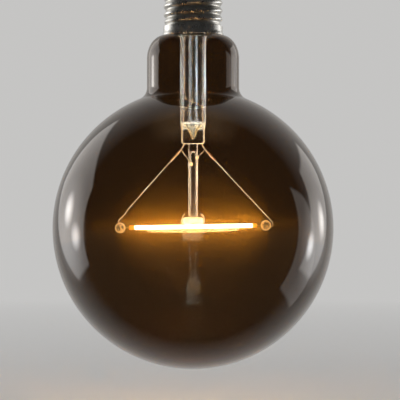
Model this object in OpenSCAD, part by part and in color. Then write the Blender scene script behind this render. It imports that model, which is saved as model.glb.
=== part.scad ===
// Globe lamp with one long LED filament, a clear stem and an Edison screw cap, hung cap up.
// The centre contact's face is at the origin, +Z leaves the cap and the glass hangs below it.
// X runs along the filament. Sizes are in millimetres.

/* [Glass envelope] */
// Height of the whole lamp, from the contact's face to the globe's lowest point
overall_h = 174; // [165:1:190]
// Diameter of the globe
globe_d = 125; // [118:1:130]
// Thickness of the envelope's glass
glass_t = 0.9; // [0.6:0.1:1.2]
// Diameter of the neck
neck_d = 41.2; // [38:0.2:45]
// Radius of the fillet between the globe and the neck
neck_fillet = 5.5; // [3:0.5:8]
// Height of the neck's rounded shoulder, just below the cap
shoulder_h = 10.5; // [8:0.5:12]
// Gap between the thread's root and the collar that the cap is cemented to
collar_gap = 0.55; // [0.5:0.05:1]
// Height of the collar, from the shoulder to the sealed edge
collar_h = 4.5; // [3.5:0.1:4.8]
// Radius of the fillet between the shoulder and the collar
collar_fillet = 1.5; // [0.8:0.1:2]

/* [Stem] */
// Diameter of the stem tube
stem_d = 11.4; // [10.6:0.1:13]
// Thickness of the stem tube's glass
stem_t = 0.95; // [0.7:0.05:1.1]
// Height of the stem, from the sealed edge to the foot of the press
stem_h = 52.8; // [48:0.2:58]
// Height of the flare that joins the stem tube to the collar
flare_h = 8; // [5:0.5:10]
// Width of the press across the two leads
press_w = 10.5; // [10:0.1:12]
// Thickness of the press
press_t = 6; // [5:0.1:7]
// Height of the press
press_h = 9.4; // [8:0.1:12]
// Height of the taper from the round tube to the flattened press
press_taper_h = 3.6; // [2:0.1:5]
// Diameter of the exhaust tube
exhaust_d = 4; // [3.4:0.1:4.6]
// Thickness of the exhaust tube's glass
exhaust_t = 0.9; // [0.6:0.05:1]
// Height of the exhaust tube, from the press to its sealed tip
exhaust_h = 46.4; // [44:0.1:46.6]
// Diameter at the exhaust tube's trumpet foot
trumpet_d = 7.2; // [6.4:0.1:7.6]
// Height of the exhaust tube's trumpet foot
trumpet_h = 2.6; // [1.5:0.1:4]
// Depth of the funnel that the pumping hole leads from
funnel_h = 6.6; // [5:0.1:7.4]
// Diameter of the pumping hole in the side of the press
pump_hole_d = 1.4; // [1:0.1:1.8]

/* [Arbor and hooks] */
// Diameter of the arbor tube
arbor_d = 4.15; // [3.4:0.05:5]
// Thickness of the arbor tube's wall
arbor_t = 0.8; // [0.6:0.05:1.1]
// Length of the arbor tube
arbor_h = 32.7; // [28:0.1:36]
// Length of the solid glass at the arbor tube's top
arbor_plug_h = 3.6; // [2:0.1:6]
// Diameter of the button under the arbor tube
button_d = 9; // [8:0.1:11]
// Height of the button
button_h = 3.1; // [2.4:0.1:4]
// Radius of the button's rounded edges
button_round = 1; // [0.5:0.1:1.1]
// Diameter of the hook wires
hook_d = 0.45; // [0.3:0.05:0.6]
// Radius of each hook's bow
hook_bow_r = 4.1; // [3.5:0.1:5]
// Diameter of the glass beads that fix the struts to the arbor
strut_bead_d = 1.6; // [1.2:0.1:2]
// Diameter of the struts
strut_d = 0.4; // [0.25:0.05:0.5]
// Drop of the left strut's bead below the press
left_strut_drop = 9.1; // [7:0.1:12]
// Drop of the right strut's bead below the press
right_strut_drop = 6.2; // [5:0.1:9]

/* [Leads] */
// Diameter of the feed wires inside the stem
feed_d = 0.45; // [0.3:0.05:0.55]
// Diameter of the leads below the press
lead_d = 0.5; // [0.3:0.05:0.6]
// Sideways reach of each lead's kink
kink_x = 5.4; // [5:0.1:6]
// Drop of each lead's kink below the press
kink_drop = 2.5; // [2:0.1:3]
// Diameter of the weld sleeve on each lead
sleeve_d = 1.1; // [0.9:0.05:1.4]
// Length of the weld sleeve on each lead
sleeve_l = 5.6; // [4:0.1:8]
// Distance from a lead's kink to its weld sleeve
sleeve_gap = 0.8; // [0.7:0.1:1.5]
// Diameter of the glass beads at the filament's ends
end_bead_d = 4.6; // [4:0.1:5.4]

/* [Filament] */
// Length of the filament's phosphor sheath
filament_l = 57; // [50:0.5:60]
// Diameter of the phosphor sheath
filament_d = 1.9; // [1.7:0.1:2.4]
// Tilt of the filament, right end up
filament_tilt = 1; // [0:0.1:2]
// Width of the strip that carries the LED chips
strip_w = 0.9; // [0.7:0.05:1]
// Thickness of the strip
strip_t = 0.35; // [0.25:0.05:0.4]
// Length of an LED chip
chip_l = 0.7; // [0.5:0.05:0.8]
// Width of an LED chip
chip_w = 0.4; // [0.3:0.05:0.5]
// Thickness of an LED chip
chip_t = 0.15; // [0.1:0.01:0.2]
// Number of LED chips
chip_count = 44; // [30:1:48]
// Bare length of each end terminal, from the sheath to the bead
terminal_l = 1.7; // [1:0.1:3]
// Width of an end terminal
terminal_w = 0.8; // [0.6:0.05:0.9]
// Thickness of an end terminal
terminal_t = 0.3; // [0.2:0.05:0.35]

/* [Cap] */
// Height of the cap, from its rim to the contact's face
cap_h = 25.4; // [25:0.1:28]
// Diameter over the thread's crests
thread_d = 26.3; // [26.05:0.05:26.45]
// Diameter at the thread's roots
root_d = 24.3; // [24.1:0.05:24.5]
// Pitch of the thread, seven turns to the inch
thread_pitch = 3.629; // [3.6:0.001:3.66]
// Diameter of the skirt's turned rim
rim_d = 27.2; // [26.8:0.1:28]
// Thickness of the shell's sheet
sheet_t = 0.3; // [0.2:0.02:0.34]
// Height of the plain skirt below the thread
skirt_h = 4.4; // [4:0.1:5]
// Height of the insulator and contact above the shell
insulator_rise = 4.3; // [3.8:0.1:5]
// Width of the shell's turned lip, from the thread's root to the lip's hole
lip_w = 2.35; // [2:0.05:3]
// Diameter of the centre contact
contact_d = 9.5; // [8.5:0.1:11]
// Height of the centre contact
contact_h = 1.5; // [1:0.1:2]
// Diameter of the dish in the centre contact
dish_d = 4; // [3:0.1:5]
// Depth of the dish in the centre contact
dish_h = 0.7; // [0.4:0.05:0.9]

/* [Driver] */
// Gap between the thread's root and the driver's insulating sleeve
guard_gap = 1.45; // [1.2:0.05:1.7]
// Thickness of the insulating sleeve
guard_t = 0.5; // [0.4:0.05:0.6]
// Height of the insulating sleeve
guard_h = 12.4; // [11:0.1:12.6]
// Gap between each edge of the driver board and the sleeve
board_gap = 0.58; // [0.5:0.02:0.8]
// Height of the driver board
board_h = 10.8; // [10.4:0.1:11.4]
// Thickness of the driver board
board_t = 1; // [0.8:0.1:1.2]
// Distance of the driver board's front from the lamp's axis
board_y = 3; // [2.8:0.1:3.2]
// Gap between the capacitor's side and the sleeve, across the board
capacitor_gap = 1.9; // [1.8:0.1:3]
// Gap between the capacitor's end and the sleeve
capacitor_end_gap = 0.7; // [0.6:0.1:1.5]
// Diameter of the choke
choke_d = 5.4; // [4.5:0.1:5.6]
// Length of the choke
choke_l = 6; // [4.5:0.1:7]
// Diameter of the fuse resistor
fuse_d = 2.4; // [1.8:0.1:2.6]
// Length of the fuse resistor
fuse_l = 5.6; // [4.5:0.1:6]
// Diameter of the wires in the cap
cap_wire_d = 0.5; // [0.3:0.05:0.6]

/* [Hidden] */

// Clearance of a wire in its hole
wire_fit = 0.03;
// Clearance between pieces that are fused, cemented or slid together
seat_fit = 0.05;
// Gap between the shell's rim and the shoulder that it stands on
rim_gap = 0.1;
// Overshoot of a cut past the face that it opens
cut = 0.1;

// Facets of the round solids and of the hulls' own circles
round_fn = 96;
hull_fn = 32;
// Steps of an arc in a turned outline, in degrees
arc_step = 3;
// Sides and bend steps of a swept wire
wire_sides = 8;
bend_steps = 3;
// Sections round the screw shell, and rings to one turn of its thread
shell_sides = 28;
rings_per_turn = 8;

// Heights of the seats along the lamp's axis
globe_r = globe_d / 2;
neck_r = neck_d / 2;
collar_r = root_d / 2 - collar_gap;
globe_z = -(overall_h - globe_r);
shoulder_top_z = -(cap_h + rim_gap);
seal_z = shoulder_top_z + collar_h;
press_foot_z = seal_z - stem_h;
press_top_z = press_foot_z + press_h;
button_top_z = press_foot_z - arbor_h;
button_foot_z = button_top_z - button_h;

// Filament's own frame: its middle hangs just below the button, clear of it over the tilt
filament_r = filament_d / 2;
filament_z = button_foot_z - seat_fit - filament_r / cos(filament_tilt)
    - button_d / 2 * tan(filament_tilt);
bead_x = filament_l / 2 + terminal_l + end_bead_d / 2;
// Depth of a terminal and of a lead's end past the bead's surface
terminal_bite = 1.5;

// Stem: the feed wires run midway between the trumpet foot and the tube's bore
stem_bore_r = stem_d / 2 - stem_t;
feed_x = (trumpet_d / 2 + stem_bore_r) / 2;
// Distance of a feed wire's free run from the tube's bore
feed_wall_gap = 0.9;
feed_run_r = stem_bore_r - feed_wall_gap;
funnel_top_r = trumpet_d / 2 - 0.6;
funnel_foot_r = 0.7;
lip_t = stem_t;

// Points on an arc in the plane, about c, from angle a to angle b in n steps
function arc(c, r, a, b, n) = [for (i = [0:n]) c + r * [cos(a + (b - a) * i / n), sin(a + (b - a) * i / n)]];
// Points on a quarter ellipse like that, with its own radii
function oval(c, rx, ry, a, b, n) = [
    for (i = [0:n]) c + [rx * cos(a + (b - a) * i / n), ry * sin(a + (b - a) * i / n)]
];
function steps(angle) = ceil(abs(angle) / arc_step);
function backwards(list) = [for (i = [len(list) - 1:-1:0]) list[i]];
function unit(v) = v / norm(v);

// Path with each inner corner replaced by a short curve that starts r before it
function rounded(path, r) = [
    path[0],
    for (i = [1:len(path) - 2])
        let (
            a = path[i] + unit(path[i - 1] - path[i]) * r,
            b = path[i] + unit(path[i + 1] - path[i]) * r
        )
        for (k = [0:bend_steps])
            let (s = k / bend_steps)
            (1 - s) * (1 - s) * a + 2 * s * (1 - s) * path[i] + s * s * b,
    path[len(path) - 1]
];

// Direction of a path at its point i
function heading(path, i) =
    i == 0 ? unit(path[1] - path[0])
    : i == len(path) - 1 ? unit(path[i] - path[i - 1])
    : unit(unit(path[i] - path[i - 1]) + unit(path[i + 1] - path[i]));

// Wire swept along a path. side is a direction that the path never runs along.
module wire(path, d, side = [0, 1, 0]) {
    n = len(path);
    points = [
        for (i = [0:n - 1])
            let (t = heading(path, i), u = unit(cross(side, t)), v = cross(t, u))
            for (k = [0:wire_sides - 1])
                let (a = 360 * k / wire_sides)
                path[i] + d / 2 * (cos(a) * u + sin(a) * v)
    ];
    walls = [
        for (i = [0:n - 2], k = [0:wire_sides - 1])
            let (
                p = i * wire_sides + k,
                q = i * wire_sides + (k + 1) % wire_sides
            )
            each [[p, p + wire_sides, q + wire_sides], [p, q + wire_sides, q]]
    ];
    ends = [
        [for (k = [0:wire_sides - 1]) k],
        [for (k = [wire_sides - 1:-1:0]) (n - 1) * wire_sides + k]
    ];
    polyhedron(points = points, faces = concat(walls, ends), convexity = 6);
}

// Straight round bar between two points
module bar(p, q, d) {
    v = q - p;
    translate(p)
        rotate([0, acos(v[2] / norm(v)), atan2(v[1], v[0])])
            cylinder(d = d, h = norm(v), $fn = round_fn);
}

// Turned solid from an outline of radius and height
module turned(outline) {
    rotate_extrude($fn = round_fn)
        polygon(outline);
}

// Envelope: the outline of its outer face, moved inwards by t, up to the neck's foot and from there
fillet_c = [
    neck_r + neck_fillet,
    sqrt(pow(globe_r + neck_fillet, 2) - pow(neck_r + neck_fillet, 2))
];
fillet_a = atan2(fillet_c[1], fillet_c[0]);
neck_foot_z = globe_z + fillet_c[1];
// Rounding of the shoulder: at most what the neck's foot and its shortest straight part leave of the wall
neck_straight_min = 0.5;
shoulder_run = min(shoulder_h, shoulder_top_z - neck_foot_z - neck_straight_min);
shoulder_c = [collar_r + collar_fillet, shoulder_top_z - shoulder_run];
function globe_outline(t) = concat(
    [for (p = arc([0, 0], globe_r - t, -90, fillet_a, steps(90 + fillet_a))) p + [0, globe_z]],
    [for (p = arc(fillet_c, neck_fillet + t, 180 + fillet_a, 180, steps(fillet_a) / 3)) p + [0, globe_z]]
);
function neck_outline(t) = concat(
    [[neck_r - t, neck_foot_z]],
    oval(shoulder_c, neck_r - shoulder_c[0] - t, shoulder_run - t, 0, 90, steps(90) / 2),
    arc([shoulder_c[0], shoulder_top_z + collar_fillet], collar_fillet + t, -90, -180, 6),
    [[collar_r - t, seal_z]]
);

module globe() {
    color([0.3, 0.22, 0.13, 0.35])
        turned(concat(globe_outline(0), backwards(globe_outline(glass_t))));
}

// The neck is one glass with the globe. It is its own solid, so that the hollow round it stays open.
module globe_neck() {
    color([0.3, 0.22, 0.13, 0.35])
        turned(concat(neck_outline(0), backwards(neck_outline(glass_t))));
}

// Flare: the middle of its wall follows a quarter ellipse from the tube to the lip
flare_c = [stem_d / 2 - stem_t / 2, seal_z + lip_t / 2 - flare_h];
flare_run = collar_r - flare_c[0] - 1.6;
// Point at the angle a of the flare's middle line, moved outwards from its hollow by w
function flare_point(a, w) =
    let (n = unit([cos(a) / flare_run, sin(a) / flare_h]))
    flare_c + [flare_run, 0] + [flare_run * cos(a), flare_h * sin(a)] + w * n;

// Flattened section of the press
module press_section() {
    hull()
        for (side = [-1, 1])
            translate([side * (press_w - press_t) / 2, 0])
                circle(d = press_t, $fn = hull_fn);
}

module stem() {
    taper_foot_z = press_top_z - press_taper_h;
    hole_z = press_top_z - funnel_h / 2;
    color([0.85, 0.85, 0.8, 0.4])
        difference() {
            union() {
                turned(concat(
                    [[stem_bore_r, press_top_z], [stem_d / 2, press_top_z]],
                    [for (i = [0:12]) flare_point(180 - i * 7.5, -stem_t / 2)],
                    [[collar_r, seal_z], [collar_r, seal_z + lip_t]],
                    [for (i = [12:-1:0]) flare_point(180 - i * 7.5, stem_t / 2)]
                ));
                hull() {
                    translate([0, 0, press_top_z - cut])
                        cylinder(d = stem_d, h = cut, $fn = hull_fn);
                    translate([0, 0, taper_foot_z])
                        linear_extrude(cut)
                            press_section();
                }
                translate([0, 0, press_foot_z])
                    linear_extrude(press_h - press_taper_h + cut / 2)
                        press_section();
            }
            translate([0, 0, press_top_z - funnel_h])
                cylinder(r1 = funnel_foot_r, r2 = funnel_top_r, h = funnel_h + cut, $fn = round_fn);
            translate([0, 0, hole_z])
                rotate([-90, 0, 0])
                    cylinder(d = pump_hole_d, h = stem_d, $fn = round_fn);
            for (side = [-1, 1])
                translate([side * feed_x, 0, press_foot_z - cut])
                    cylinder(d = feed_d + 2 * wire_fit, h = press_h + 2 * cut, $fn = round_fn);
        }
}

module exhaust_tube() {
    r = exhaust_d / 2;
    bore = r - exhaust_t;
    foot_z = press_top_z;
    tip_z = foot_z + exhaust_h;
    foot_bore = funnel_top_r;
    // Length of the drawn-down tip, and of the solid glass in it
    tip_h = 4;
    tip_solid = 1.6;
    color([0.85, 0.85, 0.8, 0.4])
        turned([
            [foot_bore, foot_z],
            [trumpet_d / 2, foot_z],
            each oval([trumpet_d / 2, foot_z + trumpet_h], trumpet_d / 2 - r, trumpet_h - 0.4, -90, -180, 8),
            each oval([0, tip_z - tip_h], r, tip_h, 0, 90, 10),
            each oval([0, tip_z - tip_h], bore, tip_h - tip_solid, 90, 0, 8),
            each oval([foot_bore, foot_z + trumpet_h], foot_bore - bore, trumpet_h, -180, -90, 8)
        ]);
}

// Place of a strut's bead on the arbor, at an angle round it and a drop below the press
function strut_seat(a, drop) = [
    (arbor_d / 2 + strut_d / 2) * cos(a),
    (arbor_d / 2 + strut_d / 2) * sin(a),
    press_foot_z - drop
];
left_strut_seat = strut_seat(251, left_strut_drop);
right_strut_seat = strut_seat(-39, right_strut_drop);
function kink(side) = [side * kink_x, 0, press_foot_z - kink_drop];
// Start of a strut at the kink of its lead, clear of the lead's own wire
function strut_start(side, seat) = kink(side) + unit(seat - kink(side)) * (lead_d / 2 + strut_d / 2 + 2 * seat_fit);

module arbor_tube() {
    color([0.85, 0.85, 0.8, 0.4])
        difference() {
            union() {
                translate([0, 0, button_top_z])
                    cylinder(d = arbor_d, h = arbor_h, $fn = round_fn);
                for (seat = [left_strut_seat, right_strut_seat])
                    translate(seat)
                        sphere(d = strut_bead_d, $fn = round_fn);
            }
            translate([0, 0, button_top_z - cut])
                cylinder(d = arbor_d - 2 * arbor_t, h = arbor_h - arbor_plug_h + cut, $fn = round_fn);
            bar(left_strut_seat, kink(-1), strut_d + 2 * wire_fit);
            bar(right_strut_seat, kink(1), strut_d + 2 * wire_fit);
        }
}

module arbor_button() {
    r = button_d / 2 - button_round;
    color([0.85, 0.85, 0.8, 0.5])
        turned(concat(
            [[0, button_foot_z]],
            arc([r, button_foot_z + button_round], button_round, -90, 0, 6),
            arc([r, button_top_z - button_round], button_round, 0, 90, 6),
            [[0, button_top_z]]
        ));
}

// Hook at one side of the button: a bow with a free tip, then a turn under the filament
module hook(side) {
    bow_x = button_d / 2 + hook_d / 2 + 0.3;
    bow_c = [bow_x - hook_bow_r, button_foot_z + button_h / 2];
    wrap_r = filament_r + hook_d / 2 + seat_fit;
    bow = arc(bow_c, hook_bow_r, 48, -14, 7);
    foot = bow[len(bow) - 1];
    wrap_z = filament_z + side * foot[0] * tan(filament_tilt);
    path = concat(
        [for (p = bow) [side * p[0], 0, p[1]]],
        [for (a = [45:23:252]) [side * foot[0], -wrap_r * sin(a), wrap_z + wrap_r * cos(a)]]
    );
    wire(path, hook_d, [1, 0, 0]);
}

module left_hook() {
    color("silver")
        hook(-1);
}

module right_hook() {
    color("silver")
        hook(1);
}

module left_strut() {
    color("rosybrown")
        bar(left_strut_seat, strut_start(-1, left_strut_seat), strut_d);
}

module right_strut() {
    color("rosybrown")
        bar(right_strut_seat, strut_start(1, right_strut_seat), strut_d);
}

// Rise of a feed wire's end on the board, and the drops below the sealed edge between which it
// bends over to its run in the stem
feed_rise = 1.6;
feed_bend_top = 1;
feed_bend_foot = 5;
// Straight length of a feed wire over its turn and over the press, and radius of its bends
feed_lead_in = 0.5;
feed_lead_out = 0.8;
feed_bend_r = 0.8;
// Places of the feed wires on the board, and height and drop of their turns above the press
left_pad_x = -0.6;
right_pad_x = -4.2;
left_turn_rise = 9.5;
left_turn_drop = 5;
right_turn_rise = 11.2;
right_turn_drop = 4.6;

// Feed wire from the driver board down the stem: it winds round the exhaust tube from angle a to b
module feed_wire(pad_x, a, b, turn_top_z, turn_h) {
    pad_y = board_y - feed_d / 2 - seat_fit;
    turns = 8;
    path = concat(
        rounded([
            [pad_x, pad_y, board_foot_z + feed_rise],
            [pad_x, pad_y, seal_z - feed_bend_top],
            [feed_run_r * cos(a), feed_run_r * sin(a), seal_z - feed_bend_foot],
            [feed_run_r * cos(a), feed_run_r * sin(a), turn_top_z + feed_lead_in]
        ], feed_bend_r),
        [
            for (i = [0:turns])
                let (s = i / turns, r = feed_run_r + (feed_x - feed_run_r) * s, w = a + (b - a) * s)
                [r * cos(w), r * sin(w), turn_top_z - turn_h * s]
        ],
        [
            [feed_x * cos(b), 0, press_top_z + feed_lead_out],
            [feed_x * cos(b), 0, press_foot_z]
        ]
    );
    wire(path, feed_d, [0.6, 0.8, 0]);
}

module left_feed_wire() {
    color("peru")
        feed_wire(left_pad_x, 100, 180, press_top_z + left_turn_rise, left_turn_drop);
}

module right_feed_wire() {
    color("peru")
        feed_wire(right_pad_x, 198, 360, press_top_z + right_turn_rise, right_turn_drop);
}

// Point of the filament's own frame in the lamp's frame
function on_filament(x, z) = [
    x * cos(filament_tilt) - z * sin(filament_tilt),
    0,
    filament_z + x * sin(filament_tilt) + z * cos(filament_tilt)
];
function bead_c(side) = on_filament(side * bead_x, 0);

// Routes of the leads, from the press over the kink to the bead at the filament's end
left_route = [
    [-feed_x, 0, press_foot_z],
    [-feed_x, 0, press_foot_z - 0.6],
    kink(-1),
    bead_c(-1) + [3.3, 0, 8.2],
    bead_c(-1) + [2.2, 0, 6.2],
    bead_c(-1) + [-0.9, 0, end_bead_d / 2 + 0.9],
    bead_c(-1) + [-0.4, 0, end_bead_d / 2 - 1.3]
];
right_route = [
    [feed_x, 0, press_foot_z],
    [feed_x, 0, press_foot_z - 0.6],
    kink(1),
    bead_c(1) + [1.3, 0, end_bead_d / 2 + 1],
    bead_c(1) + [end_bead_d / 2 + 0.7, 0, 1.3],
    bead_c(1) + [end_bead_d / 2 + 0.7, 0, -0.5],
    bead_c(1) + [end_bead_d / 2 - 1, 0, -0.7]
];

module left_lead() {
    color("rosybrown")
        wire(rounded(left_route, 0.3), lead_d);
}

module right_lead() {
    color("rosybrown")
        wire(rounded(right_route, 0.3), lead_d);
}

// Sleeve round the straight run of a lead, just past its kink
module weld_sleeve(route) {
    v = unit(route[3] - route[2]);
    a = route[2] + v * sleeve_gap;
    b = a + v * sleeve_l;
    difference() {
        bar(a, b, sleeve_d);
        bar(a - v * cut, b + v * cut, lead_d + 2 * wire_fit);
    }
}

module left_weld_sleeve() {
    color("tan")
        weld_sleeve(left_route);
}

module right_weld_sleeve() {
    color("tan")
        weld_sleeve(right_route);
}

// Glass bead at one end of the filament, with the holes of its lead and its terminal
module end_bead(side, route) {
    n = len(route);
    difference() {
        translate(bead_c(side))
            sphere(d = end_bead_d, $fn = round_fn);
        bar(route[n - 1], route[n - 2], lead_d + 2 * wire_fit);
        terminal_bar(side, wire_fit);
    }
}

module left_bead() {
    color([0.9, 0.85, 0.7, 0.6])
        end_bead(-1, left_route);
}

module right_bead() {
    color([0.9, 0.85, 0.7, 0.6])
        end_bead(1, right_route);
}

// Places its children along the filament, whose middle is at their origin
module filament_frame() {
    translate([0, 0, filament_z])
        rotate([0, -filament_tilt, 0])
            children();
}

// Flat bar of an end terminal, widened by fit all round
module terminal_bar(side, fit) {
    l = terminal_l + terminal_bite;
    filament_frame()
        translate([side * (filament_l / 2 + l / 2 + fit / 2), 0, 0])
            cube([l + fit, terminal_w + 2 * fit, terminal_t + 2 * fit], center = true);
}

module filament_strip() {
    color("white")
        filament_frame()
            cube([filament_l, strip_w, strip_t], center = true);
}

module led_chips() {
    pitch = filament_l / (chip_count + 2);
    color("gold")
        filament_frame()
            for (i = [0:chip_count - 1])
                translate([(i - (chip_count - 1) / 2) * pitch, 0, -(strip_t + chip_t) / 2])
                    cube([chip_l, chip_w, chip_t], center = true);
}

module phosphor_sheath() {
    color("orange")
        filament_frame()
            difference() {
                rotate([0, 90, 0])
                    cylinder(d = filament_d, h = filament_l, center = true, $fn = round_fn);
                translate([0, 0, -chip_t / 2])
                    cube([
                        filament_l + 2 * cut,
                        strip_w + 2 * wire_fit,
                        strip_t + chip_t + 2 * wire_fit
                    ], center = true);
            }
}

module left_terminal() {
    color("silver")
        terminal_bar(-1, 0);
}

module right_terminal() {
    color("silver")
        terminal_bar(1, 0);
}

// Screw shell: a sheet whose radius swings once for each turn of the knuckle thread
shell_top_z = -insulator_rise;
thread_foot_z = -cap_h + skirt_h;
thread_top_z = shell_top_z - 1.6;
thread_mean_r = (thread_d + root_d) / 4;
thread_swing = (thread_d - root_d) / 4;
lip_r = root_d / 2 - lip_w;
// Length over which the thread runs out at each end
runout_h = 2;
function fade(z) = max(0, min(1, (z - thread_foot_z) / runout_h, (thread_top_z - z) / runout_h));
function thread_r(z, a) =
    root_d / 2 + thread_swing * (1 + cos(360 * z / thread_pitch - a)) * fade(z);
thread_rings = round((thread_top_z - thread_foot_z) / thread_pitch * rings_per_turn);

// Radius and height of the sheet's outer face at the angle a, moved inwards by t
function shell_section(a, t) = concat(
    [
        [rim_d / 2 - t, -cap_h],
        [rim_d / 2 - t, -cap_h + 0.7],
        [thread_d / 2 + 0.05 - t, -cap_h + 1.6],
        [thread_d / 2 + 0.05 - t, thread_foot_z - 0.5]
    ],
    [
        for (i = [0:thread_rings])
            let (z = thread_foot_z + (thread_top_z - thread_foot_z) * i / thread_rings)
            [thread_r(z, a) - t, z]
    ],
    oval(
        [root_d / 2 - 1.6, shell_top_z - 1.6],
        1.6 - t, 1.6 - t, 22.5, 90, 3
    ),
    [[lip_r, shell_top_z - t]]
);

module screw_shell() {
    rows = [
        for (j = [0:shell_sides - 1])
            let (a = 360 * j / shell_sides)
            [
                for (p = concat(shell_section(a, 0), backwards(shell_section(a, sheet_t))))
                    [p[0] * cos(a), p[0] * sin(a), p[1]]
            ]
    ];
    m = len(rows[0]);
    faces = [
        for (j = [0:shell_sides - 1], k = [0:m - 1])
            let (
                a = j * m + k,
                b = j * m + (k + 1) % m,
                d = (j + 1) % shell_sides * m + k,
                c = (j + 1) % shell_sides * m + (k + 1) % m
            )
            each [[a, b, c], [a, c, d]]
    ];
    color("silver")
        polyhedron(points = [for (row = rows) each row], faces = faces, convexity = 12);
}

module cap_cement() {
    outer_r = thread_d / 2 - sheet_t - seat_fit;
    color("lightgray")
        rotate_extrude($fn = round_fn)
            difference() {
                translate([collar_r - 1, shoulder_top_z])
                    square([outer_r - collar_r + 1, collar_h - 0.5]);
                polygon(concat([[0, neck_foot_z]], neck_outline(-seat_fit), [[0, seal_z]]));
            }
}

module cap_insulator() {
    seat_z = -contact_h;
    lip_under_z = shell_top_z - sheet_t - seat_fit;
    flange_r = root_d / 2 - 1.6;
    neck_r = lip_r * cos(180 / shell_sides) - seat_fit;
    color([0.1, 0.09, 0.09])
        turned([
            [0.8, seat_z],
            [contact_d / 2 + 0.4, seat_z],
            [contact_d / 2 + 0.9, seat_z - 0.4],
            [neck_r - 0.8, shell_top_z + 0.5],
            [neck_r, shell_top_z],
            [neck_r, lip_under_z],
            [flange_r, lip_under_z],
            [flange_r, lip_under_z - 1.6],
            [flange_r - 1.8, lip_under_z - 1.6],
            [contact_d / 2, seat_z - 2],
            [0.8, seat_z - 2]
        ]);
}

module centre_contact() {
    r = contact_d / 2;
    color("goldenrod")
        turned([
            [0.5, -contact_h],
            [r, -contact_h],
            [r, -0.6],
            each arc([r - 0.6, -0.6], 0.6, 15, 90, 4),
            each oval([0, 0], dish_d / 2, dish_h, 0, -75, 6)
        ]);
}

module contact_solder() {
    under = oval([0, 0], dish_d / 2 - seat_fit, dish_h - seat_fit, -70, -20, 5);
    edge = under[len(under) - 1];
    color("lightgray")
        turned(concat(
            [[0, under[0][1]]],
            under,
            oval([0, edge[1]], edge[0], 0.14, 0, 90, 4)
        ));
}

// Driver: a sleeve stands on the flare's lip, and the board stands on the sleeve's ledge
ledge_t = 0.7;
guard_r = root_d / 2 - guard_gap;
guard_foot_z = seal_z + lip_t;
guard_top_z = guard_foot_z + guard_h;
guard_bore_r = guard_r - guard_t;
board_foot_z = guard_foot_z + ledge_t;
board_top_z = board_foot_z + board_h;
board_back_y = board_y + board_t;
board_w = 2 * (sqrt(pow(guard_bore_r, 2) - pow(board_back_y, 2)) - board_gap);
part_z = board_foot_z + 6.6;
// Space between the fuse resistor and its neighbours on the board
part_gap = 0.8;

module insulating_sleeve() {
    // Bore of the ledge at the sleeve's foot, and thickness of its ribs and their grip on the board
    ledge_r = flare_run + flare_c[0];
    rib_t = 0.8;
    rib_grip = 0.25;
    rib_y = [board_y - rib_t / 2 - seat_fit, board_back_y + rib_t / 2 + seat_fit];
    color("whitesmoke")
        difference() {
            translate([0, 0, guard_foot_z])
                cylinder(r = guard_r, h = guard_h, $fn = round_fn);
            difference() {
                translate([0, 0, guard_foot_z + ledge_t])
                    cylinder(r = guard_bore_r, h = guard_h, $fn = round_fn);
                for (side = [-1, 1], y = rib_y)
                    translate([side * guard_bore_r, y, guard_foot_z + board_h / 2])
                        cube([2 * (guard_bore_r - board_w / 2 + rib_grip), rib_t, board_h], center = true);
            }
            translate([0, 0, guard_foot_z - cut])
                cylinder(r = ledge_r - 1.4, h = guard_h, $fn = round_fn);
        }
}

module driver_board() {
    color("seagreen")
        translate([-board_w / 2, board_y, board_foot_z])
            cube([board_w, board_t, board_h]);
}

// Places of the two packages across the board, as shares of its width from its middle
rectifier_share = -0.25;
chip_share = 0.193;

// Surface-mounted package on the board's back, with its row of legs at each end
module package(x, l, w, h, legs) {
    leg_t = 0.25;
    leg_out = 0.8;
    translate([x, board_back_y, part_z]) {
        translate([-l / 2, leg_t, -w / 2])
            cube([l, h, w]);
        for (side = [-1, 1], i = [0:legs - 1])
            translate([(i - (legs - 1) / 2) * l / legs - leg_t, 0, side > 0 ? w / 2 : -w / 2 - leg_out])
                cube([2 * leg_t, leg_t + 0.3, leg_out]);
    }
}

module bridge_rectifier() {
    color([0.15, 0.15, 0.15])
        package(board_w * rectifier_share, 4.6, 3.8, 1.5, 2);
}

module driver_chip() {
    color([0.15, 0.15, 0.15])
        package(board_w * chip_share, 4.9, 3.9, 1.5, 4);
}

module capacitor() {
    groove = 0.35;
    near_x = fuse_d / 2 + part_gap;
    r = (guard_bore_r - capacitor_gap - near_x) / 2;
    l = board_y + sqrt(pow(guard_bore_r - capacitor_end_gap, 2) - pow(near_x + 2 * r, 2));
    color("midnightblue")
        translate([-near_x - r, board_y, part_z])
            rotate([90, 0, 0])
                turned([
                    [0, 0],
                    [r - 0.3, 0],
                    [r, 0.3],
                    [r, 0.9],
                    [r - groove, 1.2],
                    [r, 1.5],
                    [r, l - 0.3],
                    [r - 0.3, l],
                    [r - 0.8, l],
                    [r - 0.9, l - 0.2],
                    [0, l - 0.2]
                ]);
}

module choke() {
    r = choke_d / 2;
    // Thickness of the core's flanges and depth of the winding below their edge
    flange_t = 0.9;
    depth = 0.35;
    color("chocolate")
        translate([fuse_d / 2 + choke_d / 2 + part_gap, board_y, part_z])
            rotate([90, 0, 0])
                turned([
                    [0, 0],
                    [r, 0],
                    [r, flange_t],
                    [r - depth, flange_t],
                    [r - depth, choke_l - flange_t],
                    [r, choke_l - flange_t],
                    [r, choke_l],
                    [0, choke_l]
                ]);
}

fuse_top_z = board_top_z - 0.9;
fuse_foot_z = fuse_top_z - fuse_l;

module fuse_resistor() {
    r = fuse_d / 2;
    waist = 0.2;
    color("sandybrown")
        turned([
            [0, fuse_foot_z],
            [r - 0.3, fuse_foot_z],
            [r, fuse_foot_z + 0.4],
            [r, fuse_foot_z + 1.2],
            [r - waist, fuse_foot_z + 1.5],
            [r - waist, fuse_top_z - 1.5],
            [r, fuse_top_z - 1.2],
            [r, fuse_top_z - 0.4],
            [r - 0.3, fuse_top_z],
            [0, fuse_top_z]
        ]);
}

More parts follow.
